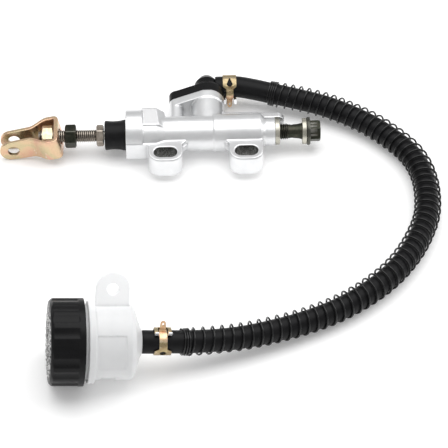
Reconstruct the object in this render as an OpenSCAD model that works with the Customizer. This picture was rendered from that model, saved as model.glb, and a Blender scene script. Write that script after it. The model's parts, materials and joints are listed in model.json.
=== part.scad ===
// Remote-reservoir rear brake master cylinder for a motorcycle.
// Millimetres. X runs along the bore towards the outlet, +Z is up along the mounting slots.
// The origin is midway between the two mounting slots, on the lugs' mounting face.

/* [Cylinder casting] */
// Distance from the mounting slots back to the bore axis
bore_y = 20; // [18:0.5:24]
// Height of the bore axis above the mounting face
bore_z = 9.2; // [8.8:0.1:9.2]
// Radius of the cylinder bore (12.7 mm, half an inch)
bore_r = 6.35; // [5.5:0.05:6.35]
// Outer radius of the barrel
barrel_r = 11; // [10.5:0.1:11.4]
// Outer radius of the collar at the pushrod end
collar_r = 14.5; // [14.3:0.1:14.6]
// Distance between the two mounting slots
slot_pitch = 50; // [46:1:52]
// Width of a mounting slot
slot_w = 8.5; // [6.5:0.5:8.5]
// Length of a mounting slot, end to end
slot_len = 14.3; // [10:0.1:14.5]
// Thickness of a mounting lug
lug_h = 13.6; // [12:0.1:14]

/* [Inlet port] */
// Position of the inlet port along the bore
port_x = 2; // [0:0.5:4]
// Distance from the bore axis to the port's flange face
port_face = 28.4; // [26:0.1:30]
// Distance from the port centre to the clamping screw
screw_pitch = 19.5; // [18:0.1:20]
// Distance from the bore axis back to the hose spigot
elbow_reach = 41.5; // [41:0.5:42]
// Radius of the elbow's upright knuckle
knuckle_r = 7.6; // [6:0.1:7.8]

/* [Pushrod and clevis] */
// Radius of the pushrod's thread (M8)
rod_r = 3.95; // [3.85:0.05:3.95]
// Width across flats of the two M8 nuts
nut_af = 13; // [12:0.5:13]
// Distance from the clevis base to its pin hole
clevis_reach = 30; // [28:0.2:31]
// Diameter of the clevis pin hole
pin_d = 7.2; // [6:0.1:7.2]
// Nose-down pitch of the loosely held clevis
clevis_pitch = 12; // [10:1:12]
// Sheet thickness of the clevis
clevis_t = 2.5; // [2:0.1:2.5]

/* [Hose] */
// Outer diameter of the feed hose
hose_d = 13.6; // [12:0.1:13.6]
// Outer diameter of the coiled spring guard
guard_d = 17.4; // [17:0.1:17.4]

/* [Reservoir] */
// Outer radius of the screw cap
cap_r = 25.2; // [24.5:0.1:25.2]
// Outer radius of the reservoir bowl
bowl_r = 21.6; // [21:0.1:21.8]
// Wall thickness of the reservoir
bowl_wall = 1.8; // [1.5:0.1:2]
// Number of grip flutes round the cap
flutes = 18; // [12:1:24]

/* [Hidden] */
$fn = 64;
eps = 0.01;

// Stations along the bore
mouth_x = -49.4;
collar_end = -38.8;
cone_start = -30.4;
cone_end = -25;
step_x = 5.4;
shoulder_x = 34.5;
neck_x = 37.4;
outlet_x = 43.5;
washer_t = 2.8;
outer_washer_x = 60.35;
banjo_hole_x = 53.8;
bore_end = 28;
ball_x = -37;
seat_x = -40.4;
ball_r = 3.45;
thread_r = 4.95;
slot_half = slot_w / 2;
slot_run = slot_len - slot_w;
lug_wall = 3.5;
lug_half = slot_half + lug_wall;
lip_h = 0.8;
lip_w = 0.35;
slot_chamfer = 0.45;
collar_shift = [0, 0.75, 0.65];
sleeve_r = 13.1;
foot_front = 13.7;
foot_base = 1.3;
foot_top = 4.4;
gusset_h = 6.5;
pad_z = 14.45;
screw_drop = 1;
screw_boss_r = 4.45;
flange_t = 6;
elbow_flange_t = 6.8;
screw_seat = port_face + elbow_flange_t + 0.05;

// Route of the feed hose, from the elbow to the reservoir
hose_route = [
    [7.5, 61.5, 9.2], [14, 61.5, 9.2], [22, 61.4, 9.2], [32, 59.4, 8.5], [41.5, 56.8, 7.8],
    [60, 51.5, 6.6], [76, 46, 5.6], [91, 38, 4.9], [105, 28, 4.4], [117, 16, 4.1], [126, 4, 4.1],
    [131.5, -9, 4.1], [134, -23, 4.1], [134, -38, 4.1], [132, -52, 4.1], [127, -66, 4.1],
    [120, -80, 4.1], [110, -94.5, 4.1], [98, -107, 4.1], [84, -118, 4.1], [69, -127, 4.2],
    [53, -134.5, 4.8], [36, -141, 6], [18, -147, 7.9], [2, -151, 10.2], [-14, -154.2, 13.2],
    [-18.5, -154.9, 14.1], [-24.2, -155.6, 15.2], [-32, -156.2, 16], [-41, -156.7, 17]];
guard_first = 4;
guard_last = 26;

// Spring band clamps
band_r = 6.9;
band_t = 0.8;
tongue_w = 4.7;

// Reservoir axis: origin at the cap's end face, pointing to the neck
res_origin = [-94.5, -160, 22.6];
res_tilt = 6;
res_yaw = 3.5;
cap_end = 0.9;
cap_face_r = 23.4;
cap_rim = 20.6;
flute_r = 11;
flute_depth = 0.6;
tab_back = 32;
tab_reach = 31.8;
tab_s = 36.6;
tab_half = 9.85;

// ---- Helpers ------------------------------------------------------------

module at_bore() {
    translate([0, bore_y, bore_z]) children();
}

// Cylinder or cone along X between two stations
module x_cyl(x0, x1, ra, rb = undef) {
    translate([x0, 0, 0]) rotate([0, 90, 0])
        cylinder(h = x1 - x0, r1 = ra, r2 = rb == undef ? ra : rb);
}

// Cylinder or cone along Y between two distances
module y_cyl(y0, y1, ra, rb = undef) {
    translate([0, y0, 0]) rotate([-90, 0, 0])
        cylinder(h = y1 - y0, r1 = ra, r2 = rb == undef ? ra : rb);
}

// Solid of revolution round X: the profile's points are [station, radius]
module x_turned(profile) {
    rotate([90, 0, 90]) rotate_extrude()
        polygon([for (p = profile) [p[1], p[0]]]);
}

// Hexagonal prism along X
module x_hex(x0, x1, flats, turn) {
    rotate([turn, 0, 0]) translate([x0, 0, 0]) rotate([0, 90, 0])
        cylinder(h = x1 - x0, r = flats / sqrt(3), $fn = 6);
}

// Nut along X
module x_nut(x0, x1, turn) {
    difference() {
        x_hex(x0, x1, nut_af, turn);
        x_cyl(x0 - 1, x1 + 1, rod_r + 0.05);
    }
}

// Two round ends joined by a straight web: a true stadium along X
module stadium(run, r, h) {
    for (side = [-1, 1]) translate([side * run / 2, 0, 0]) cylinder(h = h, r = r);
    translate([-run / 2, -r, 0]) cube([run, 2 * r, h]);
}

// Outline of two circles joined by their outer tangents
module teardrop(ra, rb, reach, drop) {
    d = sqrt(reach * reach + drop * drop);
    along = atan2(-drop, -reach);
    open = acos((ra - rb) / d);
    circle(r = ra);
    translate([-reach, -drop]) circle(r = rb);
    polygon([for (a = [along - open, along + open]) ra * [cos(a), sin(a)],
             for (a = [along + open, along - open]) [-reach, -drop] + rb * [cos(a), sin(a)]]);
}

function unit(v) = v / norm(v);
function tangent(path, i) =
    let (a = path[max(i - 1, 0)], b = path[min(i + 1, len(path) - 1)]) unit(b - a);
function ring(p, t, r, sides) =
    let (side = unit(cross(t, [0, 0, 1])), up = cross(side, t))
    [for (k = [0 : sides - 1])
        let (a = 360 * k / sides) p + r * (cos(a) * side + sin(a) * up)];
function wall(first, rings, sides, flip) =
    [for (i = [0 : rings - 2], k = [0 : sides - 1])
        let (a = first + i * sides + k, b = first + i * sides + (k + 1) % sides)
        flip ? [a, b, b + sides, a + sides] : [a, a + sides, b + sides, b]];

// Solid tube swept along a path
module swept_rod(path, r, sides = 12) {
    n = len(path);
    points = [for (i = [0 : n - 1]) each ring(path[i], tangent(path, i), r, sides)];
    last = (n - 1) * sides;
    polyhedron(points, concat(wall(0, n, sides, false),
        [[for (k = [0 : sides - 1]) k]],
        [[for (k = [sides - 1 : -1 : 0]) last + k]]));
}

// Hollow sleeve swept along a path
module swept_sleeve(path, outer, inner, sides = 12) {
    n = len(path);
    points = concat(
        [for (i = [0 : n - 1]) each ring(path[i], tangent(path, i), outer, sides)],
        [for (i = [0 : n - 1]) each ring(path[i], tangent(path, i), inner, sides)]);
    second = n * sides;
    last = (n - 1) * sides;
    polyhedron(points, concat(
        wall(0, n, sides, false),
        wall(second, n, sides, true),
        [for (k = [0 : sides - 1]) let (m = (k + 1) % sides) [k, m, second + m, second + k]],
        [for (k = [0 : sides - 1]) let (m = (k + 1) % sides)
            [last + m, last + k, second + last + k, second + last + m]]));
}

// Place children on the reservoir axis, with +X towards the neck
module at_reservoir() {
    translate(res_origin) rotate([0, 0, res_yaw]) rotate([0, res_tilt, 0]) children();
}

// ---- Cylinder -----------------------------------------------------------

module lug(x) {
    side = x > 0 ? -1 : 1;
    edge = side * (slot_run / 2 + lug_half);
    translate([x, 0, 0]) {
        stadium(slot_run, lug_half, lug_h - lip_h);
        stadium(slot_run, lug_half - lip_w, lug_h);
        translate([-slot_run / 2 - lug_half, 0, 0])
            cube([slot_run + 2 * lug_half, bore_y - 4, lug_h - lip_h]);
        translate([-slot_run / 2 - lug_half + lip_w, 0, 0])
            cube([slot_run + 2 * (lug_half - lip_w), bore_y - 4, lug_h]);
        // Stepped 45 degree gusset on the side that faces the other lug
        for (step = [[0, 4.4], [2.6, 6]]) translate([0, 0, lug_h - gusset_h])
            linear_extrude(gusset_h - step[0])
                polygon([[edge - side, 11.4 - step[1]], [edge, 11.4 - step[1]],
                         [edge + side * step[1], 11.4], [edge + side * step[1], 14],
                         [edge - side, 14]]);
    }
}

module inlet_port() {
    translate([port_x, 0, 0]) {
        y_cyl(0, port_face - flange_t + eps, 10.2);
        translate([0, port_face - flange_t, 0]) rotate([-90, 0, 0]) mirror([0, 1, 0])
            linear_extrude(flange_t) teardrop(10.8, screw_boss_r, screw_pitch, screw_drop);
        translate([-screw_pitch, 0, -screw_drop]) y_cyl(2, port_face, screw_boss_r);
    }
}

// Rib behind the barrel, ending in the tab that stops the banjo fitting turning
module rear_rib() {
    linear_extrude(10, center = true)
        polygon([[port_x, 5], [port_x, 20], [port_x + 12, 13.4], [33, 13.4], [35.4, 11],
                 [35.4, 5]]);
    difference() {
        translate([0, 8.7, 0]) {
            translate([30, 0, -4.5]) cube([15.1, 4.4, 9]);
            translate([45.1, 0, 0]) rotate([-90, 0, 0]) cylinder(h = 4.4, r = 4.5);
        }
        translate([35.6, 13.3, -6]) rotate([0, 0, 45]) cube([2, 2, 12], center = false);
    }
}

// Pad on top of the barrel: it leans down to the front and slopes off at its right end
module raised_pad() {
    intersection() {
        translate([0, 9.4, 0]) rotate([90, 0, 0]) linear_extrude(20)
            polygon([[collar_end - 0.4, 5], [collar_end - 0.4, 15], [-31, 15],
                     [cone_end, 10], [cone_end, 5]]);
        translate([collar_end - 1, 0, 0]) rotate([90, 0, 90])
            linear_extrude(cone_end - collar_end + 2)
                polygon([[10, 4], [10, pad_z], [-4.6, 12.95], [-4.6, 4]]);
    }
}

module cylinder_body() color("silver") difference() {
    union() {
        at_bore() {
            translate(collar_shift) x_cyl(mouth_x, collar_end, collar_r);
            x_cyl(collar_end - eps, cone_start, sleeve_r);
            x_cyl(cone_start - eps, cone_end, sleeve_r, barrel_r);
            x_cyl(cone_end - eps, step_x, barrel_r);
            x_cyl(step_x - eps, shoulder_x, barrel_r + 0.6);
            x_cyl(shoulder_x - eps, neck_x, barrel_r + 0.6, 8.7);
            x_cyl(neck_x - eps, outlet_x, 8.7);
            // Squared foot below the collar, running into the lug
            translate([mouth_x, -foot_front, foot_base - bore_z])
                cube([14.6, foot_front, bore_z + foot_top - foot_base]);
            raised_pad();
            inlet_port();
            rear_rib();
        }
        for (side = [-1, 1]) lug(side * slot_pitch / 2);
    }
    for (side = [-1, 1]) translate([side * slot_pitch / 2, 0, 0]) {
        translate([0, 0, -1]) stadium(slot_run, slot_half, lug_h + 2);
        translate([0, 0, lug_h - slot_chamfer]) stadium(slot_run, slot_half + slot_chamfer, 1);
    }
    at_bore() {
        x_cyl(-40, bore_end, bore_r);
        x_cyl(mouth_x - 1, -36, 7.6);
        x_cyl(mouth_x - 1, -45, 9.4);
        x_cyl(-42.65, -41.55, 8.3);
        x_cyl(bore_end - eps, outlet_x + 1, thread_r + 0.05);
        translate([port_x, 0, 0]) {
            y_cyl(0, port_face + 1, 3);
            y_cyl(port_face - 4.5, port_face + 1, 5.95);
            translate([-screw_pitch, 0, -screw_drop]) y_cyl(port_face - 12, port_face + 1, 1.75);
        }
    }
}

module piston() color("lightgray") at_bore() difference() {
    x_turned([[seat_x, 0], [seat_x, 6.3], [-34, 6.3], [-34, 4], [-30, 4], [-30, 6.3],
              [-27, 6.3], [-27, 4.4], [-13, 4.4], [-13, 6.3], [-10, 6.3], [-10, 4],
              [-6, 4], [-6, 5], [-5, 5], [-5, 3], [-1, 3], [-1, 0]]);
    translate([ball_x, 0, 0]) sphere(r = ball_r + 0.05);
    x_cyl(seat_x - 1, ball_x, ball_r + 0.05);
}

// Lipped rubber cup seal round X between two stations
module cup_seal(x0, x1) {
    x_turned([[x0, 4.05], [x0, 6.2], [x1, 6.32], [x1, 5.6], [x0 + 1.6, 5.3],
              [x1 - 0.4, 4.7], [x1 - 0.4, 4.05]]);
}

module primary_cup() color("black") at_bore() cup_seal(-9.9, -6.2);

module secondary_cup() color("black") at_bore() cup_seal(-33.9, -30.2);

// Closed sleeve of the spring's true outer size; its coils fill this envelope
module return_spring() color("silver") at_bore() difference() {
    x_cyl(-4.95, bore_end - 0.05, 5.4);
    x_cyl(-6, bore_end + 1, 4.2);
}

module stop_washer() color("gray") at_bore() difference() {
    x_cyl(-41.5, seat_x - 0.05, 7.5);
    x_cyl(-43, -39, 3.7);
}

// Internal circlip with two eyes and a gap between them
module circlip() color("dimgray") at_bore() difference() {
    union() {
        difference() {
            x_cyl(-42.6, -41.6, 8.2);
            x_cyl(-43, -41, 6.9);
        }
        for (a = [-16, 16]) rotate([a, 0, 0]) translate([0, 0, -6.4]) x_cyl(-42.6, -41.6, 1.2);
    }
    for (a = [-16, 16]) rotate([a, 0, 0]) translate([0, 0, -6.2]) x_cyl(-43, -41, 0.5);
    translate([-43, -0.7, -10]) cube([2, 1.4, 6]);
}

module dust_boot() color("black") at_bore() x_turned([
    [-63, 3.1], [-63, 8.7], [-62, 9.1], [-58, 8.8], [-54, 8.9], [-50.5, 9.6], [mouth_x, 9.6],
    [mouth_x, 9.3], [-45.2, 9.3], [-45.2, 7.7], [-52, 7.2], [-60.5, 6.8], [-61.2, 3.1]]);

// ---- Pushrod, nuts and clevis -------------------------------------------

module pushrod() color("goldenrod") at_bore() {
    translate([ball_x, 0, 0]) sphere(r = ball_r);
    x_cyl(-64, ball_x - 1, 2.9);
    x_hex(-67.7, -63.1, 12, 20);
    x_cyl(-102.7, -67, rod_r);
    x_cyl(-103.7, -102.7 + eps, rod_r - 0.9, rod_r);
}

module jam_nut() color("darkolivegreen") at_bore()
    x_nut(-87.2, -80.2, 22.4);

module clevis_nut() color("khaki") at_bore()
    x_nut(-101.3, -94.5, 0);

function smooth(t) = t <= 0 ? 0 : t >= 1 ? 1 : t * t * (3 - 2 * t);
// Outer half width of the clevis at a distance behind its base
function clevis_half(s) = 11.7 - 5.6 * smooth((s - 7) / 12);

// One leg's outline seen from above: outside from the base to the tip, then back inside
clevis_leg = concat(
    [for (a = [0 : 15 : 90]) [-3.5 + 3.5 * cos(a), 8.2 + 3.5 * sin(a)]],
    [for (s = [7 : 1 : 19]) [-s, clevis_half(s)]],
    [[-40, 6.1], [-40, 6.1 - clevis_t]],
    [for (s = [19.6 : -1 : 6.6]) [-s, clevis_half(s) - clevis_t - 0.1]],
    [[-3.5, 9.2], [-clevis_t, 8.2]]);

module clevis_strip() {
    last = len(clevis_leg) - 1;
    polygon(concat(clevis_leg, [for (i = [last : -1 : 0]) [clevis_leg[i][0], -clevis_leg[i][1]]]));
}

// Side outline: square at the base, rounded at the tip
module clevis_side() {
    tip = clevis_reach + 1.8;
    translate([-tip, 0]) circle(r = 6.8);
    polygon([[-tip, -6.8], [-12, -7.5], [1, -7.5], [1, 7.5], [-12, 7.5], [-tip, 6.8]]);
}

module clevis() color("gold") translate([-90, bore_y, bore_z]) rotate([0, -clevis_pitch, 0])
    difference() {
        intersection() {
            translate([0, 0, -10]) linear_extrude(20) clevis_strip();
            rotate([90, 0, 0]) linear_extrude(40, center = true) clevis_side();
        }
        translate([-clevis_reach, 0, 0]) y_cyl(-20, 20, pin_d / 2);
        x_cyl(-5, 2, 4.9);
    }

// ---- Inlet elbow --------------------------------------------------------

module at_port() {
    translate([port_x, bore_y, bore_z]) children();
}

module inlet_elbow() color("black") at_port() difference() {
    union() {
        translate([0, port_face + 0.02, 0]) rotate([-90, 0, 0]) mirror([0, 1, 0])
            linear_extrude(elbow_flange_t)
                teardrop(10.8, screw_boss_r, screw_pitch, screw_drop);
        y_cyl(port_face + 6, port_face + 9.2, 9.5);
        y_cyl(port_face + 9, elbow_reach + 1.9, knuckle_r);
        y_cyl(elbow_reach + 1.9 - eps, elbow_reach + 6.8, knuckle_r, 4.6);
        translate([0, elbow_reach, 0]) x_cyl(0, 5.4, 5.4);
        translate([0, elbow_reach, 0]) x_cyl(5, 22, 4.4);
        for (x = [12, 17]) translate([0, elbow_reach, 0]) x_cyl(x, x + 4, 4.8, 4.4);
        y_cyl(port_face - 4.3, port_face + 1, 4.05);
    }
    y_cyl(port_face - 6, elbow_reach, 2.6);
    translate([0, elbow_reach, 0]) x_cyl(0, 23, 2.6);
    translate([-screw_pitch, 0, -screw_drop]) y_cyl(port_face - 1, port_face + 8, 2);
}

module inlet_oring() color("black") at_port() translate([0, port_face - 1.2, 0])
    rotate([90, 0, 0]) rotate_extrude() translate([5, 0]) circle(r = 0.9, $fn = 24);

module elbow_screw() color("silver") at_port() translate([-screw_pitch, 0, -screw_drop])
    difference() {
        union() {
            y_cyl(port_face - 11, screw_seat + 1, 1.7);
            y_cyl(screw_seat, screw_seat + 1.3, 3.8);
            y_cyl(screw_seat + 1.3 - eps, screw_seat + 2.4, 3.8, 2.4);
        }
        for (turn = [45, 135]) rotate([0, turn, 0])
            translate([-2, screw_seat + 1.1, -0.4]) cube([4, 3, 0.8]);
    }

// ---- Outlet -------------------------------------------------------------

module crush_washer(x0) {
    difference() {
        x_cyl(x0, x0 + washer_t, 8.15);
        x_cyl(x0 - 1, x0 + washer_t + 1, 5.15);
    }
}

module inner_crush_washer() color("tan") at_bore() crush_washer(outlet_x + 0.02);

module outer_crush_washer() color("tan") at_bore() crush_washer(outer_washer_x);

module banjo_bolt() color("darkolivegreen") at_bore() difference() {
    union() {
        x_cyl(31, 50.4, thread_r);
        x_cyl(50.4 - eps, 57.4, 4.4);
        x_cyl(57.4 - eps, 59.7, 4.4, 5);
        x_cyl(59.7 - eps, 63.4, 5);
        x_cyl(63.3, 65.5, 8.8);
        intersection() {
            x_hex(65.2, 71.7, 12, 34);
            x_cyl(65.2, 71.7, 9.4, 5.9);
        }
    }
    x_cyl(30, 56, 2.1);
    translate([banjo_hole_x, 0, 0]) rotate([-46, 0, 0]) cylinder(h = 16, r = 1.6, center = true);
}

// ---- Feed hose ----------------------------------------------------------

module feed_hose() color("black") swept_rod(hose_route, hose_d / 2);

module spring_guard() color("black")
    swept_sleeve([for (i = [guard_first : guard_last]) hose_route[i]], guard_d / 2, 7.25);

// Fan-shaped block round X between two angles from +Z towards -Y
module fan(x0, x1, a0, a1) {
    translate([x0, 0, 0]) rotate([90, 0, 90]) linear_extrude(x1 - x0)
        polygon(concat([[0, 0]], [for (i = [0 : 6])
            let (a = a0 + (a1 - a0) * i / 6) 14 * [-sin(a), cos(a)]]));
}

// Spring band clamp round X. Its narrow tongue ends in an upright ear at +Z.
// The wide strap goes round the back and ends in two prongs beside the tongue.
module band_clamp(width) {
    outer = band_r + band_t;
    difference() {
        union() {
            x_cyl(-width / 2, width / 2, outer);
            translate([-tongue_w / 2 + 0.3, -band_t / 2, band_r + 0.3])
                cube([tongue_w - 0.6, band_t, 6]);
            rotate([26, 0, 0]) for (side = [-1, 1])
                translate([side * (width / 2 - 1.2) - 1, -band_t / 2, band_r + 0.3])
                    cube([2, band_t, 3.2]);
        }
        x_cyl(-width, width, band_r);
        for (side = [-1, 1]) fan(side > 0 ? tongue_w / 2 : -width, side > 0 ? width : -tongue_w / 2,
                                 32, 98);
        for (hole = [[116, 1.5], [124, 1.1], [132, 0.8]])
            rotate([hole[0], 0, 0]) cylinder(h = 12, r = hole[1]);
    }
}

module inlet_hose_clamp() color("goldenrod") translate([16.5, hose_route[0][1], bore_z])
    rotate([152, 0, 0]) mirror([0, 1, 0]) band_clamp(8.6);

module reservoir_hose_clamp() color("goldenrod") at_reservoir() translate([65.7, 0, 0])
    rotate([-18, 0, 0]) band_clamp(9.6);

// ---- Reservoir, along its own axis ---------------------------------------

module reservoir() color("white", 0.8) at_reservoir() difference() {
    x_turned([[6.8, 0], [6.8, 21], [22.5, 21], [22.5, 23.7], [26.5, 23.7],
              [26.5, bowl_r], [47, bowl_r], [49.2, bowl_r - 1.6], [52.6, 9.5],
              [53.8, 7], [53.8, 4.4], [58, 4.8], [58, 4.4], [62, 4.8], [62, 4.4],
              [68, 4.4], [68, 0]]);
    x_turned([[6, 0], [6, bowl_r - bowl_wall - 0.6], [22, bowl_r - bowl_wall - 0.6],
              [24, bowl_r - bowl_wall], [45.6, bowl_r - bowl_wall],
              [47.6, bowl_r - bowl_wall - 1.6], [50.8, 6.5], [52.6, 2.8], [69, 2.8], [69, 0]]);
    // Shallow blank panel that faces the front, and a relief below it
    rotate([60, 0, 0]) shallow_panel(26.9, 43.8, 20, 0.7);
    rotate([128, 0, 0]) shallow_panel(30, 38.5, 14, 0.8);
}

// Moulded mounting tab, leaning back from the top of the bowl
module reservoir_tab() color("white", 0.8) at_reservoir() difference() {
    rotate([-tab_back, 0, 0]) translate([tab_s, 0, 0]) rotate([90, 0, 0]) translate([0, 0, -2])
        difference() {
            union() {
                translate([0, tab_reach, 0]) cylinder(h = 4, r = tab_half);
                translate([-tab_half, 18, 0]) cube([2 * tab_half, tab_reach - 18, 4]);
            }
            translate([0, tab_reach, -1]) cylinder(h = 6, r = 3.3);
        }
    x_cyl(20, 60, bowl_r + 0.02);
}

// Recess of an even depth in the bowl's wall, on the +Z side
module shallow_panel(s0, s1, width, depth) {
    intersection() {
        difference() {
            x_cyl(s0, s1, bowl_r + 1);
            x_cyl(s0 - 1, s1 + 1, bowl_r - depth);
        }
        translate([s0, -width / 2, 0]) cube([s1 - s0, width, bowl_r + 2]);
    }
}

module reservoir_cap() color("black") at_reservoir() difference() {
    union() {
        x_cyl(cap_end, 2.7, cap_face_r, cap_r);
        x_cyl(2.7 - eps, cap_rim, cap_r);
    }
    x_cyl(4.6, 22, 22.2);
    for (k = [0 : flutes - 1]) rotate([(k + 0.5) * 360 / flutes, 0, 0])
        translate([0, 0, cap_r + flute_r - flute_depth]) x_cyl(-1, cap_rim - 3.4, flute_r);
}

// Shallow rubber cup with one fold and a clamped rim, hanging into the bowl
module diaphragm() color("dimgray") at_reservoir() x_turned([
    [6, 17.6], [6, 21], [6.75, 21], [6.75, 18.6], [15.6, 17.2], [17.4, 15.6], [17.4, 13.6],
    [15.6, 12.2], [15.6, 0], [14.6, 0], [14.6, 12.8], [16.4, 14.2], [16.4, 15],
    [15, 16.2]]);

module diaphragm_plate() color("white") at_reservoir() difference() {
    x_cyl(4.65, 5.95, 21);
    x_cyl(4, 7, 3);
}

cylinder_body();
piston();
primary_cup();
secondary_cup();
return_spring();
stop_washer();
circlip();
dust_boot();
pushrod();
jam_nut();
clevis_nut();
clevis();
inlet_elbow();
inlet_oring();
elbow_screw();
inner_crush_washer();
outer_crush_washer();
banjo_bolt();
feed_hose();
spring_guard();
inlet_hose_clamp();
reservoir_hose_clamp();
reservoir();
reservoir_tab();
reservoir_cap();
diaphragm();
diaphragm_plate();
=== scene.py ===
"""Looks of a rear brake master cylinder with a remote reservoir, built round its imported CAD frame."""

import json
import math

import bmesh
import bpy
from mathutils import Matrix, Vector


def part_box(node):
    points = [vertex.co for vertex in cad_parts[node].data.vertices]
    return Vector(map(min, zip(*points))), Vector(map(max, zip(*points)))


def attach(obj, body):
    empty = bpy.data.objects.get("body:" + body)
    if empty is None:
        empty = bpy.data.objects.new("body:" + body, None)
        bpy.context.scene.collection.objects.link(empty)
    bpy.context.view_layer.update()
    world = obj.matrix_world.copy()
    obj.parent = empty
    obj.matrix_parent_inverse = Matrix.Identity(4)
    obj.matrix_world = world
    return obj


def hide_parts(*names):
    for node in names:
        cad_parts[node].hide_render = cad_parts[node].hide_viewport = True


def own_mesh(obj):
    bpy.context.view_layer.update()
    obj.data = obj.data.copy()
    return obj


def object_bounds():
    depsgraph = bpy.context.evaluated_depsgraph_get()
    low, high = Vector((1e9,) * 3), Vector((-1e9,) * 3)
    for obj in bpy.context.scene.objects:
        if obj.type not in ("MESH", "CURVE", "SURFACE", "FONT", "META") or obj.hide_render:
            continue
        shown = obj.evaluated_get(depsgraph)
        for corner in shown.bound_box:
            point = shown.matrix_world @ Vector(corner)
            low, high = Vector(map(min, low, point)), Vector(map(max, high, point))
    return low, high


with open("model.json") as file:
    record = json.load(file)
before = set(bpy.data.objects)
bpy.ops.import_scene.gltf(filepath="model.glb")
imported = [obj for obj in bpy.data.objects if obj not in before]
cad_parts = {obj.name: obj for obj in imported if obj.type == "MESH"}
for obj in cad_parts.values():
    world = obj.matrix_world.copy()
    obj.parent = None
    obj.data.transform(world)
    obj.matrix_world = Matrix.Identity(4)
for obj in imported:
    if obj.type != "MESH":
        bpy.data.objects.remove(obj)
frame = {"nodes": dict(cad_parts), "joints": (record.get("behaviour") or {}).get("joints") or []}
CAD_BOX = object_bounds()
MM = 0.001
TURN = 2 * math.pi


def node_box(node):
    """Lowest and highest corners of a CAD node, in millimetres."""
    return tuple(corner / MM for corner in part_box(node))


# The bore's axis runs along X. The reservoir's axis runs from its cap to its outlet.
PISTON_LOW, PISTON_HIGH = node_box("piston")
BORE = Vector((0, (PISTON_LOW.y + PISTON_HIGH.y) / 2, (PISTON_LOW.z + PISTON_HIGH.z) / 2))
CAP_JOINT = next(j for j in frame["joints"] if j["name"] == "cap_turn")
RES_ORIGIN = Vector(CAP_JOINT["pos_m"]) / MM
RES_AXIS = -Vector(CAP_JOINT["axis"]).normalized()
RES_SIDE = RES_AXIS.cross(Vector((0, 0, 1))).normalized()
RES_UP = RES_SIDE.cross(RES_AXIS).normalized()

# The reservoir's tab leans back from straight up. It leaves the bowl between two distances
# from the bowl's axis, in metres; over these its painted glow grows.
TAB_LEAN = math.radians(32)
TAB_LEAVES, TAB_CLEAR = 0.021, 0.0235

# Machined faces and mounting slots of the cylinder, in metres, which bound painted shade
LUG_TOP, PAD_TOP = 0.0136, 0.0229
SLOT_X, SLOT_HALF_LENGTH, SLOT_HALF_WIDTH = 0.025, 0.0072, 0.0044

# Hose, its wire guard and its clamps' bands, in millimetres
HOSE_R, HOSE_BORE_R = 6.8, 4.3
GUARD_R, WIRE_R = 8.7, 0.62
BAND_R, BAND_T = 7.35, 0.68

# Pitch of the M8 threads and of the banjo bolt's fine M10 thread, in millimetres
PITCH = 1.25

# Route of the feed hose, from the elbow to the reservoir, in metres. The guard covers the
# part between two of its points.
HOSE_ROUTE = [
    (0.0075, 0.0615, 0.0092), (0.014, 0.0615, 0.0092), (0.022, 0.0614, 0.0092),
    (0.032, 0.0594, 0.0085), (0.0415, 0.0568, 0.0078), (0.06, 0.0515, 0.0066),
    (0.076, 0.046, 0.0056), (0.091, 0.038, 0.0049), (0.105, 0.028, 0.0044),
    (0.117, 0.016, 0.0041), (0.126, 0.004, 0.0041), (0.1315, -0.009, 0.0041),
    (0.134, -0.023, 0.0041), (0.134, -0.038, 0.0041), (0.132, -0.052, 0.0041),
    (0.127, -0.066, 0.0041), (0.12, -0.08, 0.0041), (0.11, -0.0945, 0.0041),
    (0.098, -0.107, 0.0041), (0.084, -0.118, 0.0041), (0.069, -0.127, 0.0042),
    (0.053, -0.1345, 0.0048), (0.036, -0.141, 0.006), (0.018, -0.147, 0.0079),
    (0.002, -0.151, 0.0102), (-0.014, -0.1542, 0.0132), (-0.0185, -0.1549, 0.0141),
    (-0.0242, -0.1556, 0.0152), (-0.032, -0.1562, 0.016), (-0.041, -0.1567, 0.017)]
HOSE_KNOTS = [Vector(p) / MM for p in HOSE_ROUTE]
GUARD_FIRST, GUARD_LAST = 4, 26


# ---- Camera and light ---------------------------------------------------

CAMERA_PLACE = (-0.0227, -1.0456, 1.0501)
CAMERA_ELEVATION, CAMERA_YAW = math.radians(46.5), math.radians(1.85)


def add_camera():
    """The photograph's view: from the front, 46.5 degrees above the table, through a long lens."""
    data = bpy.data.cameras.new("camera")
    data.lens = 192
    data.clip_start, data.clip_end = 0.05, 20
    camera = bpy.data.objects.new("camera", data)
    bpy.context.scene.collection.objects.link(camera)
    level = math.cos(CAMERA_ELEVATION)
    forward = Vector((math.sin(CAMERA_YAW) * level, math.cos(CAMERA_YAW) * level,
                      -math.sin(CAMERA_ELEVATION)))
    camera.location = CAMERA_PLACE
    camera.rotation_mode = "QUATERNION"
    camera.rotation_quaternion = forward.to_track_quat("-Z", "Y")
    bpy.context.scene.camera = camera


def add_softbox(name, place, aim, size, power):
    data = bpy.data.lights.new(name, "AREA")
    data.shape, data.size, data.size_y = "RECTANGLE", size[0], size[1]
    data.energy = power
    light = bpy.data.objects.new(name, data)
    light.location = place
    light.rotation_mode = "QUATERNION"
    light.rotation_quaternion = (Vector(aim) - Vector(place)).to_track_quat("-Z", "Y")
    bpy.context.scene.collection.objects.link(light)


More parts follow.
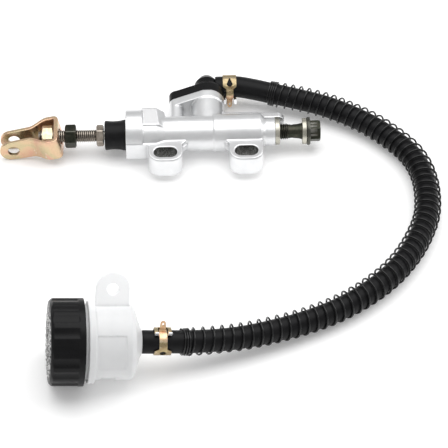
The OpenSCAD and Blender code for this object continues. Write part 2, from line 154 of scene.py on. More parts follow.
def add_studio():
    """A pale floor, a bright surround and two softboxes."""
    scene = bpy.context.scene
    scene.view_settings.view_transform = "Standard"
    world = bpy.data.worlds.new("studio")
    scene.world = world
    world.use_nodes = True
    surround = world.node_tree.nodes["Background"]
    surround.inputs["Color"].default_value = (1, 1, 1, 1)
    surround.inputs["Strength"].default_value = 0.55
    middle = (0.0, -0.06, 0.0)
    add_softbox("top_box", (0.0, 0.12, 0.95), middle, (1.5, 1.0), 9.5)
    add_softbox("right_box", (0.95, 0.15, 0.45), middle, (0.4, 0.7), 2.6)

    mesh = bmesh.new()
    bmesh.ops.create_grid(mesh, x_segments=8, y_segments=8, size=3)
    bmesh.ops.translate(mesh, verts=mesh.verts, vec=(0, 0, CAD_BOX[0].z))
    data = bpy.data.meshes.new("floor")
    mesh.to_mesh(data)
    mesh.free()
    floor = bpy.data.objects.new("floor", data)
    scene.collection.objects.link(floor)
    look = Look("floor_paper")
    look.base((0.93, 0.93, 0.93))
    look.set("Emission Color", (1, 1, 1, 1))
    look.set("Emission Strength", 0.16)
    look.set("Roughness", 0.9)
    look.set("Specular IOR Level", 0.1)
    floor.data.materials.append(look.material)


# ---- Materials ----------------------------------------------------------

# Sockets of a Mix node that is set to colours
MIX_A, MIX_B, MIX_RESULT = 6, 7, 2


class Look:
    """A procedural material: a Principled shader with noise, ramps and bump in object space."""

    def __init__(self, name):
        self.material = bpy.data.materials.new(name)
        self.material.use_nodes = True
        self.tree = self.material.node_tree
        self.shader = self.tree.nodes["Principled BSDF"]
        self.place = self.tree.nodes.new("ShaderNodeTexCoord").outputs["Object"]

    def set(self, socket, value):
        self.shader.inputs[socket].default_value = value

    def base(self, colour):
        self.set("Base Color", (*colour, 1))

    def noise(self, scale, detail=4.0, rough=0.55, warp=0.0):
        node = self.tree.nodes.new("ShaderNodeTexNoise")
        node.inputs["Scale"].default_value = scale
        node.inputs["Detail"].default_value = detail
        node.inputs["Roughness"].default_value = rough
        node.inputs["Distortion"].default_value = warp
        self.tree.links.new(self.place, node.inputs["Vector"])
        return node.outputs["Fac"]

    def ramp(self, source, stops):
        """Colour ramp with (position, colour) stops."""
        node = self.tree.nodes.new("ShaderNodeValToRGB")
        ramp = node.color_ramp
        while len(ramp.elements) < len(stops):
            ramp.elements.new(0.5)
        for element, (position, colour) in zip(ramp.elements, stops):
            element.position = position
            element.color = (*colour, 1)
        self.tree.links.new(source, node.inputs["Fac"])
        return node.outputs["Color"]

    def span(self, source, low, high, start=0.3, end=0.7):
        """Maps an output between start and end to the range low to high."""
        node = self.tree.nodes.new("ShaderNodeMapRange")
        for socket, value in (("From Min", start), ("From Max", end),
                              ("To Min", low), ("To Max", high)):
            node.inputs[socket].default_value = value
        self.tree.links.new(source, node.inputs["Value"])
        return node.outputs["Result"]

    def mix(self, factor, first, second, mode="MIX"):
        node = self.tree.nodes.new("ShaderNodeMix")
        node.data_type = "RGBA"
        node.blend_type = mode
        for socket, value in ((node.inputs["Factor"], factor), (node.inputs[MIX_A], first),
                              (node.inputs[MIX_B], second)):
            if isinstance(value, (int, float)):
                socket.default_value = value
            elif isinstance(value, tuple):
                socket.default_value = (*value, 1)
            else:
                self.tree.links.new(value, socket)
        return node.outputs[MIX_RESULT]

    def edges(self):
        """Above 0.5 on convex edges and below it in grooves."""
        return self.tree.nodes.new("ShaderNodeNewGeometry").outputs["Pointiness"]

    def recess(self, reach):
        """Near 1 on open faces and near 0 deep in grooves and corners of the same piece."""
        node = self.tree.nodes.new("ShaderNodeAmbientOcclusion")
        node.samples, node.only_local = 8, True
        node.inputs["Distance"].default_value = reach
        return node.outputs["AO"]

    def math(self, mode, *values):
        node = self.tree.nodes.new("ShaderNodeMath")
        node.operation = mode
        for socket, value in zip(node.inputs, values):
            if isinstance(value, (int, float)):
                socket.default_value = value
            else:
                self.tree.links.new(value, socket)
        return node.outputs["Value"]

    def axes(self, output):
        """X, Y and Z of the object-space place or normal."""
        node = self.tree.nodes.new("ShaderNodeSeparateXYZ")
        self.tree.links.new(self.place.node.outputs[output], node.inputs["Vector"])
        return node.outputs

    def link(self, source, socket):
        self.tree.links.new(source, self.shader.inputs[socket])

    def bump(self, height, distance, strength=1.0):
        node = self.tree.nodes.new("ShaderNodeBump")
        node.inputs["Strength"].default_value = strength
        node.inputs["Distance"].default_value = distance
        self.tree.links.new(height, node.inputs["Height"])
        last = self.shader.inputs["Normal"].links
        if last:
            self.tree.links.new(last[0].from_socket, node.inputs["Normal"])
        self.link(node.outputs["Normal"], "Normal")


def cast_aluminium():
    look = Look("cast_aluminium")
    broad = look.noise(90, 3)
    grain = look.noise(1700, 3, 0.6)
    tint = look.ramp(broad, [(0.3, (0.74, 0.745, 0.755)), (0.7, (0.82, 0.825, 0.83))])
    # Painted shade in the piece's own hollows and corners, and a painted highlight on its convex edges
    shade = look.ramp(look.recess(0.004), [(0.3, (0.4, 0.4, 0.4)), (0.9, (1.0, 1.0, 1.0))])
    tint = look.mix(1.0, tint, shade, "MULTIPLY")
    tint = look.mix(look.span(look.edges(), 0, 0.8, 0.52, 0.58), tint, (0.95, 0.95, 0.95))
    x, y, z = look.axes("Object")
    # Machined flat tops of the lugs and the pad, facing up: painted shade for their darker reflection
    flat = look.span(look.axes("Normal")["Z"], 0, 1, 0.982, 0.994)
    height = look.math("ADD", look.math("COMPARE", z, LUG_TOP, 0.0009),
                       look.math("COMPARE", z, PAD_TOP, 0.0008))
    flat_top_shade = look.math("MULTIPLY", flat, height)
    tint = look.mix(flat_top_shade, tint, (0.56, 0.56, 0.565))
    # Walls of the mounting slots, below the lugs' tops: painted shade, grainy and dark
    along = look.math("COMPARE", look.math("ABSOLUTE", x), SLOT_X, SLOT_HALF_LENGTH)
    across = look.math("COMPARE", y, 0, SLOT_HALF_WIDTH)
    below = look.math("LESS_THAN", z, LUG_TOP - 0.0005)
    wall = look.math("MULTIPLY", along, look.math("MULTIPLY", across, below))
    slot_shade = look.ramp(grain, [(0.42, (0.05, 0.05, 0.045)), (0.62, (0.34, 0.34, 0.33))])
    look.link(look.mix(wall, tint, slot_shade), "Base Color")
    look.set("Metallic", 0.95)
    look.link(look.span(grain, 0.32, 0.46), "Roughness")
    look.bump(grain, 0.00005, 0.5)
    look.bump(broad, 0.0001, 0.3)
    return look.material


def plated(name, stops, roughness, metallic=0.95, patch=120, reach=0.0012, glint=0.3):
    """Metal or its plating, whose tint changes from place to place; painted highlight on edges, painted
    shade in roots.
    """
    look = Look(name)
    tint = look.ramp(look.noise(patch, 2, 0.5, 0.8), stops)
    grain = look.noise(2600, 2)
    # Painted shade in grooves, roots and corners; painted highlight (glint) on convex edges
    shade = look.ramp(look.recess(reach), [(0.3, (0.1, 0.1, 0.09)), (0.9, (1.0, 1.0, 1.0))])
    tint = look.mix(1.0, tint, shade, "MULTIPLY")
    tint = look.mix(look.span(look.edges(), 0, glint, 0.53, 0.6), tint, (0.9, 0.88, 0.82))
    look.link(tint, "Base Color")
    look.set("Metallic", metallic)
    look.link(look.span(grain, roughness[0], roughness[1]), "Roughness")
    look.bump(grain, 0.00003, 0.5)
    return look.material


def yellow_zinc():
    # The long reach of its painted shade darkens the clevis's inner faces
    return plated("yellow_zinc", [
        (0.26, (0.70, 0.38, 0.30)), (0.40, (0.70, 0.46, 0.31)), (0.50, (0.68, 0.50, 0.32)),
        (0.58, (0.58, 0.49, 0.30)), (0.68, (0.70, 0.47, 0.32)), (0.8, (0.70, 0.40, 0.32))],
        (0.2, 0.34), 0.92, 62, 0.012, 0.6)


def copper_zinc():
    return plated("copper_zinc", [
        (0.3, (0.62, 0.34, 0.22)), (0.5, (0.74, 0.5, 0.3)), (0.7, (0.8, 0.66, 0.44))],
        (0.24, 0.36), 0.95, 200)


def clamp_zinc():
    return plated("clamp_zinc", [
        (0.3, (0.31, 0.22, 0.12)), (0.5, (0.41, 0.33, 0.18)), (0.7, (0.52, 0.39, 0.24))],
        (0.22, 0.36), 0.92, 200)


def pale_gold_zinc():
    return plated("pale_gold_zinc", [
        (0.3, (0.66, 0.52, 0.34)), (0.5, (0.8, 0.72, 0.52)), (0.7, (0.66, 0.5, 0.36))],
        (0.24, 0.38), patch=180)


def olive_zinc():
    return plated("olive_zinc", [
        (0.3, (0.024, 0.027, 0.019)), (0.5, (0.04, 0.042, 0.031)), (0.7, (0.062, 0.058, 0.044))],
        (0.26, 0.4), 0.9, 260)


def bronze_zinc():
    return plated("bronze_zinc", [
        (0.3, (0.28, 0.24, 0.2)), (0.5, (0.38, 0.33, 0.28)), (0.7, (0.48, 0.43, 0.37))],
        (0.22, 0.36), reach=0.0009, glint=1.0)


def bright_zinc():
    return plated("bright_zinc", [
        (0.3, (0.62, 0.63, 0.66)), (0.6, (0.76, 0.77, 0.79))], (0.22, 0.38))


def crush_washer_alloy():
    return plated("crush_washer_alloy", [
        (0.3, (0.38, 0.37, 0.31)), (0.6, (0.56, 0.54, 0.47))], (0.28, 0.42))


def spring_steel():
    return plated("spring_steel", [
        (0.3, (0.09, 0.09, 0.095)), (0.7, (0.15, 0.15, 0.16))], (0.35, 0.5))


def steel_wire():
    return plated("steel_wire", [
        (0.3, (0.5, 0.5, 0.51)), (0.7, (0.64, 0.64, 0.65))], (0.25, 0.4))


def anodised_aluminium():
    return plated("anodised_aluminium", [
        (0.3, (0.62, 0.58, 0.46)), (0.7, (0.72, 0.68, 0.56))], (0.3, 0.42))


def black_rubber():
    look = Look("black_rubber")
    broad = look.noise(160, 4)
    grain = look.noise(2200, 3)
    look.link(look.ramp(broad, [(0.3, (0.004, 0.004, 0.0045)), (0.7, (0.008, 0.008, 0.0088))]),
              "Base Color")
    look.link(look.span(broad, 0.34, 0.5), "Roughness")
    look.set("Specular IOR Level", 0.15)
    look.bump(grain, 0.00004, 0.5)
    return look.material


def moulded_plastic(name, low, high, roughness, grain_scale=1500, depth=0.00004):
    look = Look(name)
    broad = look.noise(110, 3)
    grain = look.noise(grain_scale, 3)
    look.link(look.ramp(broad, [(0.3, low), (0.7, high)]), "Base Color")
    look.link(look.span(grain, roughness[0], roughness[1]), "Roughness")
    look.bump(grain, depth, 0.5)
    return look


def black_plastic():
    look = moulded_plastic("black_plastic", (0.0035, 0.0035, 0.004), (0.006, 0.006, 0.0065),
                           (0.26, 0.38))
    look.set("Specular IOR Level", 0.15)
    return look.material


def white_plastic():
    return moulded_plastic("white_plastic", (0.8, 0.8, 0.77), (0.86, 0.86, 0.84),
                           (0.35, 0.5)).material


def translucent_plastic():
    """Milky plastic of the bowl with a faint painted glow, stronger on its thin tab beyond the bowl's
    side.
    """
    look = moulded_plastic("translucent_plastic", (0.83, 0.835, 0.84), (0.87, 0.875, 0.88),
                           (0.34, 0.46), 900, 0.00003)
    look.set("Subsurface Weight", 0.7)
    look.set("Subsurface Radius", (0.004, 0.004, 0.004))
    look.set("Transmission Weight", 0.25)
    # Emission: a painted glow, though the bowl is no lamp
    look.set("Emission Color", (1, 1, 1, 1))
    look.set("IOR", 1.45)
    out = RES_UP * math.cos(TAB_LEAN) - RES_SIDE * math.sin(TAB_LEAN)
    x, y, z = look.axes("Object")
    reach = look.math("MULTIPLY", z, out.z)
    reach = look.math("MULTIPLY_ADD", y, out.y, reach)
    reach = look.math("MULTIPLY_ADD", x, out.x, reach)
    axis = RES_ORIGIN.dot(out) * MM
    painted_glow = look.span(reach, 0.015, 0.155, axis + TAB_LEAVES, axis + TAB_CLEAR)
    look.link(painted_glow, "Emission Strength")
    return look.material


def knurled_plastic():
    """Glossy black plastic whose raised diamonds carry bright flecks: painted glints."""
    look = Look("knurled_plastic")
    glint_fleck = look.noise(750, 2, 0.5)
    # Bright, metallic flecks: painted glints
    tint = look.ramp(glint_fleck, [(0.52, (0.004, 0.004, 0.004)), (0.58, (0.7, 0.7, 0.69))])
    look.link(tint, "Base Color")
    look.link(look.span(glint_fleck, 0.2, 0.4), "Roughness")
    look.link(look.span(glint_fleck, 0.0, 0.8, 0.5, 0.56), "Metallic")
    return look.material


def black_wire():
    look = Look("black_wire")
    broad = look.noise(300, 3)
    look.link(look.ramp(broad, [(0.3, (0.004, 0.004, 0.0045)), (0.7, (0.008, 0.008, 0.0085))]),
              "Base Color")
    look.link(look.span(broad, 0.1, 0.2), "Roughness")
    look.set("Specular IOR Level", 0.34)
    return look.material


MAKERS = [cast_aluminium, yellow_zinc, copper_zinc, clamp_zinc, pale_gold_zinc, olive_zinc,
          bronze_zinc, bright_zinc, crush_washer_alloy, spring_steel, steel_wire, anodised_aluminium,
          black_rubber, black_plastic, white_plastic, translucent_plastic, knurled_plastic,
          black_wire]


# ---- Mesh helpers -------------------------------------------------------

def make_object(name, points, faces, slot, angle=35, look=None):
    """A mesh object from points in millimetres, shaded smooth below the given edge angle."""
    data = bpy.data.meshes.new(name)
    data.from_pydata([Vector(p) * MM for p in points], [], faces)
    data.validate()
    mesh = bmesh.new()
    mesh.from_mesh(data)
    bmesh.ops.remove_doubles(mesh, verts=mesh.verts, dist=1e-6)
    bmesh.ops.recalc_face_normals(mesh, faces=mesh.faces)
    mesh.to_mesh(data)
    mesh.free()
    piece = bpy.data.objects.new(name, data)
    bpy.context.scene.collection.objects.link(piece)
    finish_piece(piece, slot, angle, look)
    return piece


def finish_piece(piece, slot, angle, look=None):
    """Shades a piece and gives it its slot's material, or the one that look names."""
    data = piece.data
    data.materials.clear()
    data.materials.append(MATERIALS[look or slot])
    data.shade_smooth()
    data.set_sharp_from_angle(angle=math.radians(angle))


def place_piece(piece, body, *nodes):
    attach(piece, body)
    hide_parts(*nodes)
    return piece


def on_bore(x, r, a):
    """Point at a station, radius and angle round the bore axis; the angle starts at +Z."""
    return (x, BORE.y - r * math.sin(a), BORE.z + r * math.cos(a))


def loft_rings(rings, close_ends=True, loop=False):
    """Quads between equal rings of points. Ends are closed by fans round their middles."""
    sides, count = len(rings[0]), len(rings)
    points = [p for ring in rings for p in ring]
    faces = []
    for i in range(count if loop else count - 1):
        here, ahead = i * sides, (i + 1) % count * sides
        for k in range(sides):
            beside = (k + 1) % sides
            faces.append((here + k, here + beside, ahead + beside, ahead + k))
    if close_ends and not loop:
        for ring_start, flip in ((0, True), ((count - 1) * sides, False)):
            middle = sum((Vector(points[ring_start + k]) for k in range(sides)), Vector()) / sides
            points.append(tuple(middle))
            hub = len(points) - 1
            for k in range(sides):
                a, b = ring_start + k, ring_start + (k + 1) % sides
                faces.append((b, a, hub) if flip else (a, b, hub))
    return points, faces


def turned(name, profile, slot, sides=96, loop=True, place=on_bore):
    """A solid of revolution from (station, radius) points; loop closes the profile on itself."""
    rings = [[place(x, r, TURN * k / sides) for k in range(sides)] for x, r in profile]
    points, faces = loft_rings(rings, close_ends=not loop, loop=loop)
    return make_object(name, points, faces, slot)


def rounded(profile, radius, steps=4):
    """Rounds the corners of a closed profile with arcs of up to the given radius."""
    result = []
    count = len(profile)
    for i in range(count):
        here = Vector(profile[i])
        back, ahead = Vector(profile[i - 1]), Vector(profile[(i + 1) % count])
        to_back, to_ahead = back - here, ahead - here
        reach = min(radius, to_back.length * 0.45, to_ahead.length * 0.45)
        start, end = here + to_back.normalized() * reach, here + to_ahead.normalized() * reach
        for step in range(steps + 1):
            t = step / steps
            point = start * (1 - t) ** 2 + here * 2 * t * (1 - t) + end * t * t
            result.append(tuple(point))
    return result


def frames_along(path):
    """Tangent, side and up at each point of a path, without twist."""
    count = len(path)
    frames = []
    for i in range(count):
        tangent = (path[min(i + 1, count - 1)] - path[max(i - 1, 0)]).normalized()
        side = tangent.cross(Vector((0, 0, 1))).normalized()
        frames.append((tangent, side, side.cross(tangent).normalized()))
    return frames


def lengths_along(path):
    """Distance from the path's start to each of its points."""
    lengths = [0.0]
    for a, b in zip(path, path[1:]):
        lengths.append(lengths[-1] + (b - a).length)
    return lengths


def sweep(path, radii, sides):
    """Rings of points along a path; radii is a list as long as the path."""
    rings = []
    for point, radius, (_, side, up) in zip(path, radii, frames_along(path)):
        rings.append([tuple(point + radius * (math.cos(TURN * k / sides) * side
                                              + math.sin(TURN * k / sides) * up))
                      for k in range(sides)])
    return rings


def smooth_path(points, steps):
    """Catmull-Rom curve through the points."""
    path = []
    for i in range(len(points) - 1):
        p0, p1 = points[max(i - 1, 0)], points[i]
        p2, p3 = points[i + 1], points[min(i + 2, len(points) - 1)]
        for step in range(steps):
            t = step / steps
            path.append(0.5 * (2 * p1 + (p2 - p0) * t + (2 * p0 - 5 * p1 + 4 * p2 - p3) * t * t
                               + (3 * p1 - p0 - 3 * p2 + p3) * t ** 3))
    path.append(points[-1])
    return path


def apply_modifiers(piece):
    graph = bpy.context.evaluated_depsgraph_get()
    data = bpy.data.meshes.new_from_object(piece.evaluated_get(graph))
    piece.modifiers.clear()
    piece.data = data


def softened(nodes, slot, voxel, rounds, keep):
    """A copy of CAD nodes as one skin with rounded edges: remeshed, smoothed and thinned out."""
    mesh = bmesh.new()
    for node in nodes:
        mesh.from_mesh(frame["nodes"][node].data)
    data = bpy.data.meshes.new(nodes[0] + "_skin")
    mesh.to_mesh(data)
    mesh.free()
    piece = bpy.data.objects.new(nodes[0] + "_skin", data)
    bpy.context.scene.collection.objects.link(piece)
    weld = piece.modifiers.new("weld", "WELD")
    weld.merge_threshold = 1e-6
    grid = piece.modifiers.new("grid", "REMESH")
    grid.mode, grid.voxel_size, grid.adaptivity = "VOXEL", voxel * MM, 0
    smooth = piece.modifiers.new("smooth", "SMOOTH")
    smooth.factor, smooth.iterations = 0.5, rounds
    thin = piece.modifiers.new("thin", "DECIMATE")
    thin.ratio = keep
    bpy.context.view_layer.update()
    apply_modifiers(piece)
    finish_piece(piece, slot, 60)
    return piece


# ---- Fasteners ----------------------------------------------------------

def thread_radius(major, depth, phase):
    """Radius of a rounded V thread; phase runs from 0 to 1 over one pitch."""
    wave = abs(2 * (phase % 1.0) - 1)
    return major - depth * min(max((wave - 0.3) / 0.6, 0), 1)


def threaded_rings(x0, x1, major, depth, sides, steps=12, fade=1.1):
    """Rings of a right-hand external thread whose ends are cut back to its root."""
    count = max(int((x1 - x0) / PITCH * steps), 2)
    rings = []
    for i in range(count + 1):
        x = x0 + (x1 - x0) * i / count
        reach = major - depth + depth * min(1, (x - x0) / fade, (x1 - x) / fade)
        rings.append([on_bore(x, min(thread_radius(major, depth, x / PITCH - k / sides), reach),
                              TURN * k / sides) for k in range(sides)])
    return rings


def hex_radius(a, flats, turn, corner_cut=0.18):
    """Distance from the axis to a hexagon's side in a direction, with its corners eased."""
    local = (a - turn) % (TURN / 6) - TURN / 12
    return min(flats / 2 / math.cos(local), flats / math.sqrt(3) - corner_cut)


HEX_SIDES = 144


def hex_rings(x0, x1, flats, turn):
    """Rings of a hexagonal prism whose ends are chamfered by 30 degree cones."""
    inner = flats / 2 * 0.95
    slope = math.tan(math.radians(30))
    deep = (flats / math.sqrt(3) - inner) * slope
    cuts = [deep * f for f in (0, 0.12, 0.25, 0.4, 0.55, 0.7, 0.85, 1)]
    angles = [TURN * k / HEX_SIDES for k in range(HEX_SIDES)]
    rings = []
    for x in [x0 + c for c in cuts] + [x1 - c for c in reversed(cuts)]:
        limit = min(inner + (x - x0) / slope, inner + (x1 - x) / slope)
        rings.append([on_bore(x, min(hex_radius(a, flats, turn), limit), a) for a in angles])
    return rings


def hex_nut(node, body, slot, turn_deg):
    """An M8 nut with chamfered corners and a countersunk, threaded hole, in its CAD node's box."""
    low, high = node_box(node)
    flats, hole_r, ridge_height, sink_depth = 13, 4, 0.28, 0.6
    outer = hex_rings(low.x, high.x, flats, math.radians(turn_deg))
    inner = []
    steps = int((high.x - low.x) / PITCH * 6)
    for i in range(steps + 1):
        x = high.x + (low.x - high.x) * i / steps
        sink = max(sink_depth - min(x - low.x, high.x - x), 0)
        ring = []
        for k in range(HEX_SIDES):
            ridge = abs(2 * ((x / PITCH - k / HEX_SIDES) % 1) - 1)
            r = hole_r + sink + ridge_height * ridge
            ring.append(on_bore(x, r, TURN * k / HEX_SIDES))
        inner.append(ring)
    points, faces = loft_rings(outer + inner, loop=True)
    return place_piece(make_object(node + "_metal", points, faces, slot, 28), body, node)


def join_meshes(name, parts, slot, angle=30):
    """One object from several closed shells given as (points, faces)."""
    points, faces = [], []
    for part_points, part_faces in parts:
        start = len(points)
        points += part_points
        faces += [tuple(start + i for i in face) for face in part_faces]
    return make_object(name, points, faces, slot, angle)


def pushrod():
    """M8 rod with a wrench hexagon, a thin shank and a ball that sits in the piston."""
    low, high = node_box("pushrod")
    sides = 48
    hex0, hex1 = -67.7, -63.1
    shank_r, ball_r = 2.9, 3.45
    ball_x = high.x - ball_r
    thread = threaded_rings(low.x, hex0 + 0.2, 3.95, 0.72, sides)
    flats = hex_rings(hex0, hex1, 12, math.radians(20))
    profile = [(hex1 - 0.3, shank_r), (ball_x - 2, shank_r)]
    for i in range(15):
        t = math.radians(60 + 8 * i)
        profile.append((ball_x - ball_r * math.cos(t), ball_r * math.sin(t)))
    profile.append((high.x, 0.0))
    shank = [[on_bore(x, r, TURN * k / sides) for k in range(sides)] for x, r in profile]
    parts = [loft_rings(thread), loft_rings(flats), loft_rings(shank)]
    piece = join_meshes("pushrod_rod", parts, "bronze_zinc", 30)
    return place_piece(piece, "pushrod_body", "pushrod")


def banjo_bolt():
    """Hollow bolt with a rolled thread, a waisted shank, a flange and a domed hexagon."""
    sides = 96
    low, high = node_box("banjo_bolt")
    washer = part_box("outer_crush_washer")[1].x / MM
    thread_end = 52
    thread = threaded_rings(low.x, thread_end, 4.95, 0.7, sides)
    neck = [(thread_end, 4.25), (52.4, 4.36), (54.5, 4.34), (56.6, 4.4), (57.9, 4.55),
            (58.9, 4.8), (59.6, 5.0), (washer, 5.0), (washer + 0.15, 5.2),
            (washer + 0.15, 8.3), (washer + 0.4, 8.7), (washer + 0.9, 8.8),
            (washer + 1.7, 8.78), (washer + 2.1, 8.5), (washer + 2.3, 7.4)]
    rings = thread + [[on_bore(x, r, TURN * k / sides) for k in range(sides)] for x, r in neck]
    head = []
    top, dome_height = high.x, 2.2
    angles = [TURN * k / HEX_SIDES for k in range(HEX_SIDES)]
    flats = [hex_radius(a, 12, math.radians(34), 0.08) for a in angles]
    for x in [washer + 2.2] + [top - h for h in (dome_height, 1.6, 1.1, 0.7, 0.4, 0.15, 0)]:
        share = min((top - x) / dome_height, 1)
        dome = 5.7 + 1.3 * math.sqrt(max(1 - (1 - share) ** 2, 0))
        head.append([on_bore(x, min(r, dome), a) for r, a in zip(flats, angles)])
    piece = join_meshes("banjo_bolt_metal", [loft_rings(rings), loft_rings(head)],
                        "olive_zinc", 30)
    # The blind oil way and the cross hole through the shank
    cut_hole(piece, Vector((40, BORE.y, BORE.z)), 90, "Y", radius=2.1, length=32)
    cut_hole(piece, Vector((53.8, BORE.y, BORE.z)), -46, "X", radius=1.6, length=12)
    finish_piece(piece, "olive_zinc", 30)
    return place_piece(piece, "banjo_bolt_body", "banjo_bolt")


def cut_hole(piece, centre, turn, about, radius, length):
    """Drills a round hole centred on a point: upright, then turned by degrees about an axis."""
    mesh = bmesh.new()
    bmesh.ops.create_cone(mesh, cap_ends=True, segments=32, radius1=radius * MM,
                          radius2=radius * MM, depth=length * MM)
    spin = Matrix.Rotation(math.radians(turn), 4, about)
    cut_away(piece, mesh, Matrix.Translation(centre * MM) @ spin)


def cut_away(piece, mesh, place):
    """Takes the given shape, put in its place, out of a piece."""
    bmesh.ops.transform(mesh, matrix=place, verts=mesh.verts)
    data = bpy.data.meshes.new("cutter")
    mesh.to_mesh(data)
    mesh.free()
    cutter = bpy.data.objects.new("cutter", data)
    bpy.context.scene.collection.objects.link(cutter)
    cut = piece.modifiers.new("cut", "BOOLEAN")
    cut.operation, cut.object, cut.solver = "DIFFERENCE", cutter, "EXACT"
    cut.use_self = True
    bpy.context.view_layer.update()
    apply_modifiers(piece)
    bpy.data.objects.remove(cutter)


def crush_washer(node, body):
    low, high = node_box(node)
    hole_r, outer_r = 5.15, 8.15
    profile = rounded([(low.x, hole_r), (low.x, outer_r), (high.x, outer_r), (high.x, hole_r)],
                      0.45)
    piece = turned(node + "_ring", profile, "crush_washer_alloy")
    return place_piece(piece, body, node)


def elbow_screw():
    """Pan-head screw with a cross recess."""
    low, high = node_box("elbow_screw")
    middle_x, middle_z = (low.x + high.x) / 2, (low.z + high.z) / 2
    top = high.y
    profile = [(low.y, 0), (low.y + 0.6, 1.4), (low.y + 1, 1.7), (top - 2.4, 1.7),
               (top - 2.35, 3.5), (top - 2.1, 3.78), (top - 1.5, 3.75), (top - 0.9, 3.4),
               (top - 0.35, 2.6), (top - 0.05, 1.5), (top, 0.6), (top, 0)]

    def place(y, r, a):
        return (middle_x + r * math.sin(a), y, middle_z + r * math.cos(a))

    piece = turned("elbow_screw_metal", profile, "bright_zinc", 48, False, place)
    recess_arm = (0.0036, 0.003, 0.0007)
    for turn in (45, 135):
        mesh = bmesh.new()
        bmesh.ops.create_cube(mesh, size=1)
        bmesh.ops.scale(mesh, vec=recess_arm, verts=mesh.verts)
        centre = Vector((middle_x, top + 0.3, middle_z)) * MM
        spin = Matrix.Rotation(math.radians(turn), 4, "Y")
        cut_away(piece, mesh, Matrix.Translation(centre) @ spin)
    finish_piece(piece, "bright_zinc", 30)
    return place_piece(piece, "root", "elbow_screw")


# ---- Springs, boot and hose ---------------------------------------------

# Loose coils lie a little high and to the back of what they wind round
COIL_LIFT = Vector((0, 0.7, 0.7))


def coil(path, turn_at, wire, turns, steps, sides):
    """Rings of a wire that winds round a path.

    At each share of the wire, turn_at gives its share of the path, radius, angle and lift.
    """
    frames = frames_along(path)
    lengths = lengths_along(path)
    total = lengths[-1]
    count = int(turns * steps)
    centre = []
    index = 0
    for i in range(count + 1):
        share, radius, angle, lift = turn_at(i / count)
        distance = min(max(share, 0), 1) * total
        while index < len(path) - 2 and lengths[index + 1] < distance:
            index += 1
        while index > 0 and lengths[index] > distance:
            index -= 1
        span = max(lengths[index + 1] - lengths[index], 1e-9)
        t = (distance - lengths[index]) / span
        point = path[index].lerp(path[index + 1], t)
        side = frames[index][1].lerp(frames[index + 1][1], t).normalized()
        up = frames[index][2].lerp(frames[index + 1][2], t).normalized()
        centre.append(point + radius * (math.cos(angle) * side + math.sin(angle) * up)
                      + COIL_LIFT * lift)
    rings = []
    for i, point in enumerate(centre):
        tangent = (centre[min(i + 1, count)] - centre[max(i - 1, 0)]).normalized()
        away = (point - nearest(path, point)).normalized()
        side = tangent.cross(away).normalized()
        out = side.cross(tangent).normalized()
        rings.append([tuple(point + wire * (math.cos(TURN * k / sides) * side
                                            + math.sin(TURN * k / sides) * out))
                      for k in range(sides)])
    return rings


def nearest(path, point):
    return min(path, key=lambda p: (p - point).length_squared)


def return_spring():
    low, high = node_box("return_spring")
    wire = 0.55
    path = [Vector((low.x + (high.x - low.x) * i / 40, BORE.y, BORE.z)) for i in range(41)]
    radius = (high.y - low.y) / 2 - wire - 0.05
    turns = 9.0

    def turn_at(t):
        return 0.02 + 0.96 * t, radius, TURN * turns * t, 0

    rings = coil(path, turn_at, wire, turns, 32, 10)
    piece = join_meshes("return_spring_coil", [loft_rings(rings)], "steel_wire", 60)
    place_piece(piece, "root", "return_spring")
    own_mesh(piece)
    return piece


def dust_boot():
    """Rubber boot with a rounded front lip, a shallow waist and a rolled rim at the back."""
    low, high = node_box("dust_boot")
    x0, x1 = low.x, high.x
    front, neck = x0 + 0.45, x0 + 13.6
    rod_hole_r, neck_r = 4.5, 9.3
    outer = [(front, rod_hole_r), (front, 8), (x0 + 0.7, 8.8), (x0 + 1.2, 9.15),
             (x0 + 2.2, 9.12), (x0 + 4, 8.85), (x0 + 6, 8.78), (x0 + 8.5, 8.9),
             (x0 + 10.5, 9.1), (x0 + 11.6, 9.35), (x0 + 12.3, 9.6), (x0 + 13.3, 9.6),
             (neck, neck_r), (x1, neck_r)]
    inner = [(x1, 7.8), (x0 + 11, 7.2), (x0 + 4, 6.9), (x0 + 2.5, 6.6), (x0 + 2.1, rod_hole_r)]
    piece = turned("dust_boot_rubber", rounded(outer + inner, 0.5, 3), "black_rubber")
    place_piece(piece, "root", "dust_boot")
    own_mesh(piece)
    return piece


def feed_hose():
    """Rubber hose along its route, rounded at its ends and a little swollen over the barbs."""
    path = smooth_path(HOSE_KNOTS, 8)
    lengths = lengths_along(path)
    total = lengths[-1]
    rounding, rounding_run = 0.35, 0.8
    swell, swell_run = 0.2, 40
    radii = []
    for s in lengths:
        end = min(s, total - s)
        radii.append(HOSE_R - rounding * max(0, 1 - end / rounding_run) ** 2
                     - swell * min(end / swell_run, 1))
    outer = sweep(path, radii, 40)
    bore = sweep(path, [HOSE_BORE_R] * len(path), 40)
    # The bore goes in as far as its third ring from each end, and is closed there
    shell = loft_rings(bore[2::-1] + outer + bore[:-4:-1])
    hose = join_meshes("feed_hose_rubber", [shell], "black_rubber", 45)
    place_piece(hose, "root", "feed_hose")
    return hose, path, total


